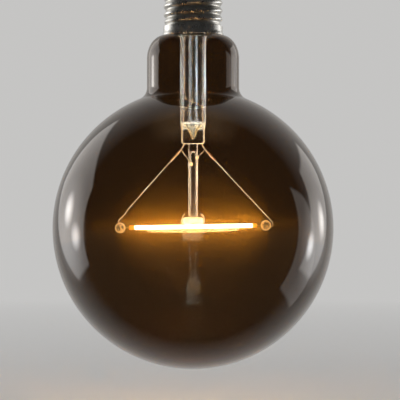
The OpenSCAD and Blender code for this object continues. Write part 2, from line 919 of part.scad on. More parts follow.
module contact_wire() {
    color("silver")
        wire([[0, 0, fuse_top_z], [0, 0, -dish_h]], cap_wire_d);
}

module link_wire() {
    drop_z = fuse_foot_z - 0.7;
    color("silver")
        wire(rounded([
            [0, 0, fuse_foot_z],
            [0, 0, drop_z],
            [0, board_y, drop_z]
        ], 0.45), cap_wire_d, [1, 0, 0]);
}

// Wire from the board over the sleeve's edge to the inside of the shell
shell_wire_r = (guard_r + root_d / 2 - sheet_t) / 2;
shell_wire_z = guard_foot_z + 4;

module shell_wire() {
    pad_x = board_w / 2 - 1.2;
    pad_y = board_y - cap_wire_d / 2 - seat_fit;
    over_z = guard_top_z + cap_wire_d / 2 + seat_fit;
    color("silver")
        wire(rounded([
            [pad_x, pad_y, board_top_z - 2],
            [pad_x, pad_y, over_z],
            [shell_wire_r, 0, over_z],
            [shell_wire_r, 0, shell_wire_z]
        ], 0.3), cap_wire_d, [0, 1, 0]);
}

module shell_solder() {
    solder_h = 0.6;
    color("lightgray")
        translate([shell_wire_r, 0, shell_wire_z - solder_h])
            cylinder(r = root_d / 2 - sheet_t - shell_wire_r - seat_fit, h = solder_h, $fn = round_fn);
}

globe();
globe_neck();
stem();
exhaust_tube();
arbor_tube();
arbor_button();
left_hook();
right_hook();
left_strut();
right_strut();
left_feed_wire();
right_feed_wire();
left_lead();
right_lead();
left_weld_sleeve();
right_weld_sleeve();
left_bead();
right_bead();
filament_strip();
led_chips();
phosphor_sheath();
left_terminal();
right_terminal();
screw_shell();
cap_cement();
cap_insulator();
centre_contact();
contact_solder();
insulating_sleeve();
driver_board();
bridge_rectifier();
driver_chip();
capacitor();
choke();
fuse_resistor();
contact_wire();
link_wire();
shell_wire();
shell_solder();
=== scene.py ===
"""Looks of the globe lamp: smoky glass, clear stem, lit LED filament and screw cap, hung cap up."""
import math

import bmesh
import bpy
from mathutils import Matrix, Vector


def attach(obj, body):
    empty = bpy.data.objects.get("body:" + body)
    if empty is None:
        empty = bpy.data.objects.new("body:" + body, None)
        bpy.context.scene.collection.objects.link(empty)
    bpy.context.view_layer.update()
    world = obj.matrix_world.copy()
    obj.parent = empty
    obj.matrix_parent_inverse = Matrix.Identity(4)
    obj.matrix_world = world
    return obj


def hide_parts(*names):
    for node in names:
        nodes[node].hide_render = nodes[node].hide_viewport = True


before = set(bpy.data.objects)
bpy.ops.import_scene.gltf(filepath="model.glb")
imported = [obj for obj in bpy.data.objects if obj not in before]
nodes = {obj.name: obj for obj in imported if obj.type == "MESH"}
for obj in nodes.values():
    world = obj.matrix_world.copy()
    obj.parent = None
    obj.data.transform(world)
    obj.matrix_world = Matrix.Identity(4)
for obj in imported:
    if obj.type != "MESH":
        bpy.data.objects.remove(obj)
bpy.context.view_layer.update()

MM = 0.001
SIDES = (("left", -1), ("right", 1))


def link(name, data):
    """Puts a new object with this data in the scene."""
    o = bpy.data.objects.new(name, data)
    bpy.context.scene.collection.objects.link(o)
    return o


# Camera: level, at the photo's distance and lens, with the globe low in the frame as the photo has it
camera_data = bpy.data.cameras.new("camera")
camera_data.sensor_width = 36
camera_data.lens = 141.6
camera = link("camera", camera_data)
camera.location = (0.0031, -0.702, -0.0988)
camera.rotation_euler = (math.radians(90), 0, 0)
bpy.context.scene.camera = camera
bpy.context.scene.view_settings.view_transform = "Standard"

# Sizes in millimetres, nearly all as in the part's source. GAP is the clearance of pieces that touch on the
# real lamp. The filament is lit from LIT_LEFT to LIT_RIGHT along it.
GAP = 0.05

GLOBE_R = 62.49
GLASS_T = 0.9
NECK_R = 20.6
NECK_FILLET = 5.5
SHOULDER_H = 10.5
COLLAR_R = 11.6
COLLAR_FILLET = 1.5
GLOBE_Z = -111.5
SHOULDER_TOP_Z = -25.5
SEAL_Z = -21.0

STEM_R = 5.7
STEM_T = 0.95
FLARE_H = 8.0
FLARE_LIP = 1.6
PRESS_W = 10.5
PRESS_T = 6.0
PRESS_TOP_Z = -64.4
PRESS_FOOT_Z = -73.8
PRESS_TAPER_H = 3.6
PRESS_FOOT_ROUND = 1.1
BORE_FOOT_ROUND = 0.35
FUNNEL_TOP_R = 3.0
FUNNEL_FOOT_R = 0.7
FUNNEL_H = 6.6
FUNNEL_LEDGE = 0.1
FUNNEL_SWELL = 0.25

EXHAUST_R = 2.0
EXHAUST_BORE = 1.1
EXHAUST_H = 46.4
EXHAUST_TIP_H = 4.0
EXHAUST_BORE_TIP_H = 2.4
TRUMPET_R = 3.6
TRUMPET_H = 2.6
TRUMPET_EDGE = 0.4

ARBOR_R = 2.075
ARBOR_BORE = 1.275
ARBOR_DOME_DROP = 4.4
ARBOR_DOME_H = 1.3
BUTTON_TOP_Z = -106.5
BUTTON_FOOT_Z = -109.6
BUTTON_R = 4.5
BUTTON_ROUND = 1.25

FILAMENT_L = 57.0
FILAMENT_R = 0.95
FILAMENT_END = 0.5
FILAMENT_END_R = 0.45
SHEATH_DRAWN_IN = 0.03
SHEATH_RIPPLE = 0.018
SHEATH_RIPPLE_RATE = 5.07
SHEATH_DIP = 0.012
SHEATH_DIP_RATE = 1.3
FILAMENT_TILT = math.radians(1.0)
FILAMENT_Z = (
    BUTTON_FOOT_Z - GAP - FILAMENT_R / math.cos(FILAMENT_TILT) - BUTTON_R * math.tan(FILAMENT_TILT)
)
LIT_LEFT = -26.1
LIT_RIGHT = 26.5
TERMINAL_SHOWN = 1.7
BEAD_R = 2.3
BEAD_X = FILAMENT_L / 2 + TERMINAL_SHOWN + BEAD_R

FEED_D = 0.45
FEED_X = (TRUMPET_R + STEM_R - STEM_T) / 2
FEED_FROM_WALL = 0.9
FEED_RUN_R = STEM_R - STEM_T - FEED_FROM_WALL
FEED_ON_PAD = 1.6
FEED_DIVE = 1.0
FEED_SWERVE = 5.0
FEED_EASE = 0.5
FEED_OVER_PRESS = 0.8
FEED_BEND = 0.8
BOARD_Y = 3.0
BOARD_FOOT_Z = SEAL_Z + STEM_T + 0.7

LEAD_D = 0.5
LEAD_BEND = 0.45
LEAD_STRAIGHT = 0.6
KINK_X = 5.4
KINK_DROP = 2.5
SLEEVE_START = 0.8
SLEEVE_L = 5.6
SLEEVE_R = 0.55
SLEEVE_BORE = LEAD_D / 2 + 0.03
SLEEVE_EDGE = 0.12
SLEEVE_NIP = 0.05
SLEEVE_NIP_W = 0.035
SLEEVE_NIPS = (0.3, 0.7)
STRUT_D = 0.4
STRUT_FROM_LEAD = 0.1
STRUT_STEP = 2.0
STRUT_BEAD_R = 0.72
HOOK_D = 0.45
HOOK_FROM_BUTTON = 0.3
HOOK_BOW_R = 4.1
HOOK_BOW_RISE = 1.55

SHELL_TOP_Z = -4.3
SHELL_TOP_ROUND = 1.6
SHELL_LIP_R = 9.8
SKIRT_R = 13.2
SKIRT_FOOT_Z = -23.8
SKIRT_TOP_Z = -21.5
THREAD_FOOT_Z = -21.0
THREAD_TOP_Z = -5.9
THREAD_RUN_OUT = 2.0
PITCH = 3.629
ROOT_R = 12.15
SWING = 0.5
SHEET_T = 0.3

CONTACT_R = 4.75
CONTACT_H = 1.5
CONTACT_ROUND = 0.6
CONTACT_BORE = 0.5
DISH_R = 2.0
DISH_H = 0.7
SOLDER_R = 1.95
SOLDER_H = 0.65
SOLDER_RISE = 0.14
SOLDER_LUMP = 0.04


# Shapes

def steps(a, b, n):
    """Values or points from a to b in n equal steps, both ends included."""
    return [a + (b - a) * i / n for i in range(n + 1)]


def turns(a, b, n):
    """Angles from a to b degrees in n equal steps, in radians."""
    return [math.radians(angle) for angle in steps(a, b, n)]


def polar(r, angle):
    return (r * math.cos(angle), r * math.sin(angle))


def round_angles(n):
    """Angles of n points evenly round a circle."""
    return [2 * math.pi * k / n for k in range(n)]


def oval(cx, cz, rx, rz, a, b, n):
    """Points (r, z) on an oval about (cx, cz), angles in degrees."""
    return [(cx + rx * math.cos(t), cz + rz * math.sin(t)) for t in turns(a, b, n)]


def arc(cx, cz, r, a, b, n):
    return oval(cx, cz, r, r, a, b, n)


def skin(rings, closed=False):
    """Faces between rings of vertex numbers. A ring at the axis is one vertex, repeated."""
    faces = []
    for p, q in zip(rings, rings[1:] + rings[:1] if closed else rings[1:]):
        for k in range(len(p)):
            j = (k + 1) % len(p)
            corners = list(dict.fromkeys((p[k], p[j], q[j], q[k])))
            if len(corners) > 2:
                faces.append(corners)
    return faces


def rod_faces(count, sides):
    """Faces of a rod of count rings of vertices, closed at both ends."""
    rings = [[i * sides + k for k in range(sides)] for i in range(count)]
    return skin(rings) + [rings[0][::-1], rings[-1]]


def piece(name, verts, faces, material, replaced, sharp=38.0, more_materials=(), zones=None):
    """Links a mesh in millimetres as a piece of the lamp. Edges sharper than an angle in degrees stay sharp,
    and zones gives the number of each face's material."""
    mesh = bpy.data.meshes.new(name)
    mesh.from_pydata([tuple(p * MM for p in v) for v in verts], [], faces)
    for m in (material, *more_materials):
        mesh.materials.append(m)
    if zones:
        for poly, index in zip(mesh.polygons, zones):
            poly.material_index = index
    bm = bmesh.new()
    bm.from_mesh(mesh)
    bmesh.ops.remove_doubles(bm, verts=bm.verts, dist=1e-8)
    bmesh.ops.recalc_face_normals(bm, faces=bm.faces)
    limit = math.radians(sharp)
    for f in bm.faces:
        f.smooth = True
    for e in bm.edges:
        e.smooth = len(e.link_faces) != 2 or e.calc_face_angle(0) < limit
    bm.to_mesh(mesh)
    bm.free()
    o = link(name, mesh)
    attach(o, "root")
    if replaced:
        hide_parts(*replaced)
    return o


def lathe(name, outline, material, replaced, segs, closed=True, move=None, sharp=38.0):
    """Piece turned about the Z axis from an outline of (r, z), which may be closed. move changes each point."""
    on_axis_r = 1e-6
    verts = []
    rings = []
    for r, z in outline:
        if r < on_axis_r:
            rings.append([len(verts)] * segs)
            verts.append((0.0, 0.0, z))
        else:
            rings.append(list(range(len(verts), len(verts) + segs)))
            verts += [(*polar(r, a), z) for a in round_angles(segs)]
    if move:
        verts = [move(Vector(v)) for v in verts]
    return piece(name, verts, skin(rings, closed), material, replaced, sharp)


def rounded(path, r, n=6):
    """Path with each inner corner replaced by a short curve that starts r before it."""
    out = [path[0]]
    for before, corner, after in zip(path, path[1:], path[2:]):
        a = corner + (before - corner).normalized() * r
        b = corner + (after - corner).normalized() * r
        for s in steps(0, 1, n):
            out.append((1 - s) * (1 - s) * a + 2 * s * (1 - s) * corner + s * s * b)
    out.append(path[-1])
    return out


def wire(name, path, d, material, replaced):
    """Round wire along a path, its ends closed."""
    sides = 16
    last = len(path) - 1
    tangents = [(path[min(i + 1, last)] - path[max(i - 1, 0)]).normalized() for i in range(len(path))]
    up = Vector((0, 1, 0)) if abs(tangents[0].y) < 0.9 else Vector((1, 0, 0))
    u = up.cross(tangents[0]).normalized()
    verts = []
    for p, t in zip(path, tangents):
        u = (u - t * u.dot(t)).normalized()
        w = t.cross(u)
        verts += [tuple(p + d / 2 * (math.cos(a) * u + math.sin(a) * w)) for a in round_angles(sides)]
    piece(name, verts, rod_faces(len(path), sides), material, replaced, sharp=50)


# Nodes of the materials. A socket is set from a number or a colour, or linked to another.

def tree(name):
    """Empty material: itself, its node tree and its output."""
    m = bpy.data.materials.new(name)
    m.use_nodes = True
    nt = m.node_tree
    nt.nodes.clear()
    return m, nt, nt.nodes.new("ShaderNodeOutputMaterial")


def put(nt, socket, value):
    if isinstance(value, bpy.types.NodeSocket):
        nt.links.new(value, socket)
    elif isinstance(value, tuple) and len(value) == 3 and socket.type == "RGBA":
        socket.default_value = (*value, 1)
    else:
        socket.default_value = value


def add(nt, kind, **inputs):
    """New node with its inputs set by name, _ for a space."""
    n = nt.nodes.new(kind)
    for key, value in inputs.items():
        put(nt, n.inputs[key.replace("_", " ")], value)
    return n


def calc(nt, operation, a, b=0.0, clamp=False):
    n = nt.nodes.new("ShaderNodeMath")
    n.operation = operation
    n.use_clamp = clamp
    put(nt, n.inputs[0], a)
    put(nt, n.inputs[1], b)
    return n.outputs[0]


def length(nt, vector):
    n = nt.nodes.new("ShaderNodeVectorMath")
    n.operation = "LENGTH"
    nt.links.new(vector, n.inputs[0])
    return n.outputs["Value"]


def mix(nt, factor, first, second):
    """Shader between two others, the first where factor is 0."""
    n = nt.nodes.new("ShaderNodeMixShader")
    for socket, value in zip(n.inputs, (factor, first, second)):
        put(nt, socket, value)
    return n.outputs[0]


def place_of(nt):
    """Place on the piece, in metres."""
    return nt.nodes.new("ShaderNodeTexCoord").outputs["Object"]


def noise(nt, scale, detail=4.0, rough=0.55, stretch=(1, 1, 1), distort=0.0):
    """Noise over the piece's own place in metres, stretched along an axis where stretch is below 1."""
    place = place_of(nt)
    if stretch != (1, 1, 1):
        place = add(nt, "ShaderNodeMapping", Vector=place, Scale=stretch).outputs[0]
    n = add(
        nt, "ShaderNodeTexNoise", Vector=place, Scale=scale, Detail=detail, Roughness=rough, Distortion=distort
    )
    return n.outputs["Fac"]


def spread(nt, value, a, b, lo=0.0, hi=1.0):
    """Maps value from lo..hi to a..b, clamped."""
    n = nt.nodes.new("ShaderNodeMapRange")
    for key, x in (("Value", value), ("From Min", lo), ("From Max", hi), ("To Min", a), ("To Max", b)):
        put(nt, n.inputs[key], x)
    return n.outputs[0]


def blend(nt, factor, a, b):
    """Colour between a, at factor 0, and b."""
    n = nt.nodes.new("ShaderNodeMix")
    n.data_type = "RGBA"
    put(nt, n.inputs["Factor"], factor)
    put(nt, n.inputs[6], a)
    put(nt, n.inputs[7], b)
    return n.outputs[2]


def relief(nt, height, distance, under=None):
    """Bump from a height, on another bump where one is given."""
    n = add(nt, "ShaderNodeBump", Strength=1.0, Distance=distance, Height=height)
    if under is not None:
        nt.links.new(under, n.inputs["Normal"])
    return n.outputs[0]


def seen(nt, path):
    """1 for rays from the camera, also through glass."""
    return calc(nt, "ADD", path.outputs["Is Camera Ray"], path.outputs["Is Transmission Ray"], clamp=True)


def surface(m, nt, out, colour, roughness, metal, normal, **more):
    """Finishes a material with one principled shader."""
    shader = add(
        nt, "ShaderNodeBsdfPrincipled",
        Base_Color=colour, Roughness=roughness, Metallic=metal, Normal=normal, **more
    )
    nt.links.new(shader.outputs[0], out.inputs[0])
    return m


# Glass

TINT_VARIES = 0.03
TINT_SCALE = 30
# Haze fades to this share of itself between these slopes, so that the halo ends where the filament does
HAZE_END = 0.05
HAZE_FADE = (0.075, 0.175)
CLOUD_ROUGHNESS = 0.6
# Colour of the painted glow: light that button and bead glass give off with no lamp behind it
PAINTED_GLOW_COLOUR = (1.0, 0.98, 0.75)
SPOT_SCALE = 620
SPOT_EDGE = (0.52, 0.66)


def glass(
    name, tint, ior, shade, waves, wave_scale, bloom,
    stretch=(1, 1, 1), haze=(), cloud=None, painted_glow=0.0, spots=0.0
):
    """Glass that lets the lamps' light through as a sheet tinted by shade, so that what is inside is lit.
    bloom is the colour of what haze and cloud scatter. haze is the shares that a faint bloom on the glass
    scatters forwards, each with its roughness. cloud is the share that the glass itself scatters all round,
    seen flat on and seen edge on, where the way through the glass is longest, and the slopes between which
    it grows from one to the other. painted_glow is the strength of a painted glow that the glass gives off
    where it scatters, standing in for light carried from the filament. spots is the most that irregular spots
    add to the share of cloud."""
    m, nt, out = tree(name)
    dark = tuple(c * (1 - TINT_VARIES) for c in tint)
    light = tuple(min(1.0, c * (1 + TINT_VARIES)) for c in tint)
    colour = blend(nt, noise(nt, TINT_SCALE, 2.0), dark, light)
    normal = relief(nt, noise(nt, wave_scale, 2.0, 0.4, stretch), waves)
    shader = add(
        nt, "ShaderNodeBsdfPrincipled",
        Base_Color=colour, IOR=ior, Roughness=0.0, Transmission_Weight=1.0, Normal=normal
    ).outputs[0]
    for most, roughness in haze:
        veil = add(
            nt, "ShaderNodeBsdfPrincipled",
            Base_Color=bloom, IOR=ior, Roughness=roughness, Transmission_Weight=1.0
        )
        slope = add(nt, "ShaderNodeLayerWeight", Blend=0.5).outputs["Facing"]
        share = spread(nt, slope, most, most * HAZE_END, *HAZE_FADE)
        shader = mix(nt, share, shader, veil.outputs[0])
    if cloud:
        slope = add(nt, "ShaderNodeLayerWeight", Blend=0.5, Normal=normal).outputs["Facing"]
        # The scatter also gives off the painted glow, where the cloud share is, so most on edges and spots
        scatter = add(
            nt, "ShaderNodeBsdfPrincipled", Base_Color=bloom, Roughness=CLOUD_ROUGHNESS,
            Emission_Color=PAINTED_GLOW_COLOUR, Emission_Strength=painted_glow
        )
        share = spread(nt, slope, *cloud)
        if spots:
            speckle = noise(nt, SPOT_SCALE, 2.0, 0.5, distort=0.8)
            share = calc(nt, "MAXIMUM", share, spread(nt, speckle, 0.0, spots, *SPOT_EDGE))
        shader = mix(nt, share, shader, scatter.outputs[0])
    through = add(nt, "ShaderNodeBsdfTransparent", Color=shade)
    path = nt.nodes.new("ShaderNodeLightPath")
    shader = mix(nt, path.outputs["Is Shadow Ray"], shader, through.outputs[0])
    nt.links.new(shader, out.inputs[0])
    m.cycles.emission_sampling = "NONE"
    return m


SMOKE = (0.2, 0.13, 0.068)
smoked_glass = glass(
    "smoked_glass", SMOKE, ior=1.8, shade=tuple(c ** 0.5 for c in SMOKE), waves=0.000002, wave_scale=20,
    bloom=(0.36, 0.08, 0.0008), haze=((0.0017, 0.4), (0.001, 0.2))
)
CLEAR = dict(ior=1.52, shade=(0.985, 0.985, 0.975), waves=0.00001, wave_scale=260)
clear_glass = glass(
    "clear_glass", (0.97, 0.975, 0.95), **CLEAR, bloom=(0.95, 0.97, 1.0), stretch=(1, 1, 0.15),
    cloud=(0.001, 0.85, 0.45, 0.7)
)
exhaust_glass = glass(
    "exhaust_glass", (0.975, 0.97, 0.94), **CLEAR, bloom=(0.42, 0.47, 0.55), stretch=(1, 1, 0.3),
    cloud=(0.001, 0.85, 0.2, 0.42)
)
arbor_glass = glass(
    "arbor_glass", (0.975, 0.97, 0.94), **CLEAR, bloom=(0.44, 0.41, 0.4), stretch=(1, 1, 0.3),
    cloud=(0.001, 0.85, 0.26, 0.5)
)
funnel_glass = glass(
    "funnel_glass", (0.98, 0.97, 0.93), **CLEAR, bloom=(1.0, 0.8, 0.45), haze=((0.1, 0.5),),
    cloud=(0.004, 0.9, 0.3, 0.75)
)
press_glass = glass(
    "press_glass", (0.975, 0.97, 0.94), **CLEAR, bloom=(1.0, 0.9, 0.74), cloud=(0.001, 0.9, 0.25, 0.55)
)
# The button and the end beads give off a painted glow where they scatter, as if lit from the filament
button_glass = glass(
    "button_glass", (0.98, 0.96, 0.9), **CLEAR, bloom=(1.0, 0.9, 0.74), haze=((0.5, 0.8),),
    cloud=(0.3, 0.9, 0.1, 0.7), painted_glow=4.0
)
bead_glass = glass(
    "bead_glass", (0.98, 0.96, 0.9), **CLEAR, bloom=(1.0, 0.72, 0.4),
    cloud=(0.012, 0.5, 0.12, 0.62), painted_glow=5.0, spots=0.5
)


# Metals, phosphor and plain materials

TARNISH = 0.7
# Most of a noise lies between these values
NOISE_SPAN = (0.35, 0.65)


def wire_metal(name, base, tarnish, rough, metal):
    """Drawn wire: fine grain, patches of tarnish and uneven gloss. metal is below 1 for dulled wire."""
    m, nt, out = tree(name)
    patches = spread(nt, noise(nt, 420, 5.0, 0.6), 0.0, TARNISH, 0.42, 0.68)
    roughness = spread(nt, noise(nt, 700, 4.0), *rough, *NOISE_SPAN)
    normal = relief(nt, noise(nt, 5200, 3.0, 0.5), 0.000015)
    return surface(m, nt, out, blend(nt, patches, base, tarnish), roughness, metal, normal)


nickel_wire = wire_metal("nickel_wire", (0.8, 0.75, 0.68), (0.58, 0.48, 0.38), (0.42, 0.62), 0.7)
lead_wire = wire_metal("lead_wire", (0.94, 0.91, 0.86), (0.8, 0.7, 0.6), (0.5, 0.72), 0.35)
copper_wire = wire_metal("copper_wire", (0.6, 0.38, 0.22), (0.38, 0.21, 0.12), (0.4, 0.6), 0.5)
sleeve_metal = wire_metal("sleeve_metal", (0.62, 0.44, 0.32), (0.4, 0.24, 0.15), (0.5, 0.72), 0.55)


def phosphor_material(name, lit):
    """Silicone filled with phosphor: a fine grain and a waxy gloss. Lit, it glows warm white."""
    m, nt, out = tree(name)
    grain = noise(nt, 9000, 3.0, 0.6)
    dips = noise(nt, 900, 3.0)
    if lit:
        colour = blend(nt, grain, (0.93, 0.5, 0.12), (1.0, 0.63, 0.2))
        glow = dict(Emission_Color=(1.0, 0.9, 0.72), Emission_Strength=3100.0)
    else:
        colour = blend(nt, dips, (0.72, 0.33, 0.06), (0.9, 0.5, 0.13))
        glow = dict(Emission_Color=(1.0, 0.42, 0.04), Emission_Strength=5.0)
    normal = relief(nt, dips, 0.00006, under=relief(nt, grain, 0.00001))
    return surface(
        m, nt, out, colour, spread(nt, dips, 0.3, 0.5), 0.0, normal,
        Coat_Weight=0.25, Subsurface_Weight=0.25, Subsurface_Scale=0.0006, **glow
    )


phosphor_lit = phosphor_material("phosphor_lit", True)
phosphor_dim = phosphor_material("phosphor_dim", False)


def shell_metal():
    """Nickelled sheet: drawn rings, dull roots, rubbed crests and small scratches."""
    m, nt, out = tree("nickel_shell")
    rings = noise(nt, 260, 3.0, 0.5, (0.05, 0.05, 22.0))
    streaks = noise(nt, 900, 4.0, 0.6, (1, 1, 0.12))
    stain = noise(nt, 160, 5.0, 0.6, distort=0.6)
    from_axis = length(nt, add(nt, "ShaderNodeMapping", Vector=place_of(nt), Scale=(1, 1, 0)).outputs[0])
    crest = spread(nt, from_axis, 0.0, 1.0, (ROOT_R + 0.1) * MM, (ROOT_R + 2 * SWING) * MM)
    worn = calc(nt, "MULTIPLY", crest, spread(nt, streaks, 0.3, 1.0, 0.4, 0.6))
    base = blend(nt, spread(nt, stain, 0.0, 1.0, 0.38, 0.66), (0.58, 0.55, 0.49), (0.74, 0.72, 0.67))
    colour = blend(nt, worn, base, (0.84, 0.82, 0.77))
    roughness = calc(
        nt, "MULTIPLY", spread(nt, worn, 1.0, 0.62), spread(nt, stain, 0.26, 0.46, *NOISE_SPAN)
    )
    normal = relief(nt, streaks, 0.00002, under=relief(nt, rings, 0.00002))
    return surface(m, nt, out, colour, roughness, 1.0, normal)


nickel_shell = shell_metal()


def plain(name, dark, light, scale, rough, bump, bump_scale, metal=0.0):
    """Opaque material with mottled colour, uneven gloss and a fine grain."""
    m, nt, out = tree(name)
    colour = blend(nt, spread(nt, noise(nt, scale, 5.0, 0.6), 0.0, 1.0, *NOISE_SPAN), dark, light)
    roughness = spread(nt, noise(nt, scale * 1.7, 4.0, 0.6), *rough, *NOISE_SPAN)
    normal = relief(nt, noise(nt, bump_scale, 4.0, 0.6), bump)
    return surface(m, nt, out, colour, roughness, metal, normal)


# Each with its darker and lighter colour, the scale of its mottling, its least and most roughness, the depth
# and the scale of its grain, and how metallic it is
PLAIN = (
    ("cement", (0.5, 0.46, 0.39), (0.74, 0.7, 0.61), 900, (0.8, 0.95), 0.00008, 2600),
    ("black_glass", (0.008, 0.008, 0.009), (0.022, 0.019, 0.022), 500, (0.08, 0.22), 0.00003, 700),
    ("brass", (0.6, 0.42, 0.18), (0.82, 0.62, 0.31), 600, (0.22, 0.42), 0.00002, 2400, 1.0),
    ("solder", (0.5, 0.5, 0.5), (0.78, 0.78, 0.77), 900, (0.22, 0.5), 0.00006, 1300, 1.0),
    ("white_plastic", (0.78, 0.77, 0.73), (0.88, 0.87, 0.84), 300, (0.38, 0.52), 0.00001, 3000),
    ("board", (0.03, 0.17, 0.07), (0.05, 0.25, 0.11), 700, (0.28, 0.42), 0.00002, 2600),
    ("package", (0.018, 0.018, 0.019), (0.04, 0.04, 0.042), 1500, (0.5, 0.68), 0.00001, 7000),
    ("capacitor_sleeve", (0.015, 0.022, 0.09), (0.03, 0.045, 0.15), 500, (0.2, 0.34), 0.00002, 1400),
    ("ferrite", (0.1, 0.06, 0.045), (0.2, 0.13, 0.1), 1200, (0.55, 0.8), 0.00004, 4200),
    ("resistor_body", (0.3, 0.45, 0.4), (0.42, 0.58, 0.53), 900, (0.3, 0.45), 0.00002, 2400),
    ("ceramic_strip", (0.82, 0.8, 0.74), (0.93, 0.92, 0.88), 2500, (0.35, 0.5), 0.000008, 12000),
    ("chip", (0.6, 0.5, 0.22), (0.8, 0.7, 0.38), 3000, (0.12, 0.25), 0.000005, 9000),
)
finish = {row[0]: plain(*row) for row in PLAIN}

# CAD nodes that stay, by the material that they get
for material, names in (
    (nickel_wire, ("left_terminal", "right_terminal", "contact_wire", "link_wire", "shell_wire")),
    (finish["ceramic_strip"], ("filament_strip",)),
    (finish["chip"], ("led_chips",)),
    (finish["cement"], ("cap_cement",)),
    (finish["white_plastic"], ("insulating_sleeve",)),
    (finish["board"], ("driver_board",)),
    (finish["package"], ("bridge_rectifier", "driver_chip")),
    (finish["capacitor_sleeve"], ("capacitor",)),
    (finish["ferrite"], ("choke",)),
    (finish["resistor_body"], ("fuse_resistor",)),
    (finish["solder"], ("shell_solder",)),
):
    for name in names:
        if not nodes[name].material_slots:
            raise RuntimeError(f"{name} has no material slot")
        for material_slot in nodes[name].material_slots:
            material_slot.material = material


# Glass envelope

def envelope(t):
    """Outline of the envelope moved inwards by t, from the globe's foot to the sealed edge."""
    fillet_x = NECK_R + NECK_FILLET
    fillet_z = math.sqrt((GLOBE_R + NECK_FILLET) ** 2 - fillet_x * fillet_x)
    a = math.degrees(math.atan2(fillet_z, fillet_x))
    shoulder_x = COLLAR_R + COLLAR_FILLET
    shoulder_z = SHOULDER_TOP_Z - SHOULDER_H
    return (
        arc(0, GLOBE_Z, GLOBE_R - t, -90, a, 110)
        + arc(fillet_x, fillet_z + GLOBE_Z, NECK_FILLET + t, 180 + a, 180, 16)[1:]
        + oval(shoulder_x, shoulder_z, NECK_R - shoulder_x - t, SHOULDER_H - t, 0, 90, 24)
        + arc(shoulder_x, SHOULDER_TOP_Z + COLLAR_FILLET, COLLAR_FILLET + t, -90, -180, 12)
        + [(COLLAR_R - t, SEAL_Z)]
    )


lathe(
    "globe_glass", envelope(0) + envelope(GLASS_T)[::-1], smoked_glass, ["globe", "globe_neck"],
    segs=224, closed=False, sharp=60
)


# Stem and press

def stadium(angle):
    """Point of the press's section in a direction, on its flat sides or its rounded ends."""
    c = math.cos(angle)
    s = math.sin(angle)
    half = (PRESS_W - PRESS_T) / 2
    r = PRESS_T / 2
    if abs(s) > 1e-9 and abs(r * c / s) <= half:
        return Vector((r * c / abs(s), math.copysign(r, s)))
    b = c * math.copysign(half, c)
    return Vector((c, s)) * (b + math.sqrt(max(0.0, b * b - half * half + r * r)))


def flare_point(angle, w):
    """Point (r, z) of the flare's wall at an angle in degrees, w to the inside of its middle."""
    cx = STEM_R - STEM_T / 2
    cz = SEAL_Z + STEM_T / 2 - FLARE_H
    run = COLLAR_R - cx - FLARE_LIP
    t = math.radians(angle)
    n = Vector((math.cos(t) / run, math.sin(t) / FLARE_H)).normalized()
    return (cx + run + run * math.cos(t) + w * n.x, cz + FLARE_H * math.sin(t) + w * n.y)


def stem_piece():
    """Flared tube pinched to a press, in one skin outside and one inside that joins it at the lip."""
    segs = 96
    angles = round_angles(segs)
    verts = []

    def ring(points, z):
        verts.extend((*p, z) for p in points)

    def circle(r, z):
        ring([polar(r, a) for a in angles], z)

    # Outside: the press's rounded foot, its straight part and its taper, the tube, the flare and the lip
    for t in turns(0, 90, 6):
        inset = PRESS_FOOT_ROUND * (1 - math.sin(t))
        points = [stadium(a) * (1 - inset / stadium(a).length) for a in angles]
        ring(points, PRESS_FOOT_Z + PRESS_FOOT_ROUND * (1 - math.cos(t)))
    taper_z = PRESS_TOP_Z - PRESS_TAPER_H
    for z in steps(PRESS_FOOT_Z + PRESS_FOOT_ROUND, taper_z, 8)[1:]:
        ring([stadium(a) for a in angles], z)
    for s in steps(0, 1, 12)[1:]:
        k = s * s * (3 - 2 * s)
        points = [stadium(a) * (1 - k) + Vector(polar(STEM_R, a)) * k for a in angles]
        ring(points, taper_z + PRESS_TAPER_H * s)
    press_rings = len(verts) // segs - 1
    for z in steps(PRESS_TOP_Z, flare_point(180, -STEM_T / 2)[1], 8)[1:-1]:
        circle(STEM_R, z)
    for degrees in steps(180, 90, 24):
        circle(*flare_point(degrees, -STEM_T / 2))
    circle(COLLAR_R, SEAL_Z)
    circle(COLLAR_R, SEAL_Z + STEM_T)

    # Inside: the flare, the bore, its foot and the funnel in the press
    for degrees in steps(90, 180, 24):
        circle(*flare_point(degrees, STEM_T / 2))
    bore = STEM_R - STEM_T
    bore_foot_z = PRESS_TOP_Z + BORE_FOOT_ROUND
    for z in steps(flare_point(180, STEM_T / 2)[1], bore_foot_z, 8)[1:]:
        circle(bore, z)
    for r, z in arc(bore - BORE_FOOT_ROUND, bore_foot_z, BORE_FOOT_ROUND, 0, -90, 4)[1:]:
        circle(r, z)
    circle(FUNNEL_TOP_R + FUNNEL_LEDGE, PRESS_TOP_Z)
    funnel_ring = len(verts) // segs
    for s in steps(0, 1, 12):
        swell = FUNNEL_SWELL * math.sin(math.pi * s)
        circle(FUNNEL_TOP_R + (FUNNEL_FOOT_R - FUNNEL_TOP_R) * s + swell, PRESS_TOP_Z - FUNNEL_H * s)
    for r, z in arc(0, PRESS_TOP_Z - FUNNEL_H, FUNNEL_FOOT_R, 0, -72, 4)[1:]:
        circle(r, z)

    count = len(verts) // segs
    tube, funnel, press = range(3)
    zones = []
    for i in range(count - 1):
        zone = press if i < press_rings else funnel if i >= funnel_ring else tube
        zones += [zone] * segs
    zones += [press, funnel]
    piece(
        "stem_glass", verts, rod_faces(count, segs), clear_glass, ["stem"], sharp=55,
        more_materials=(funnel_glass, press_glass), zones=zones
    )


stem_piece()

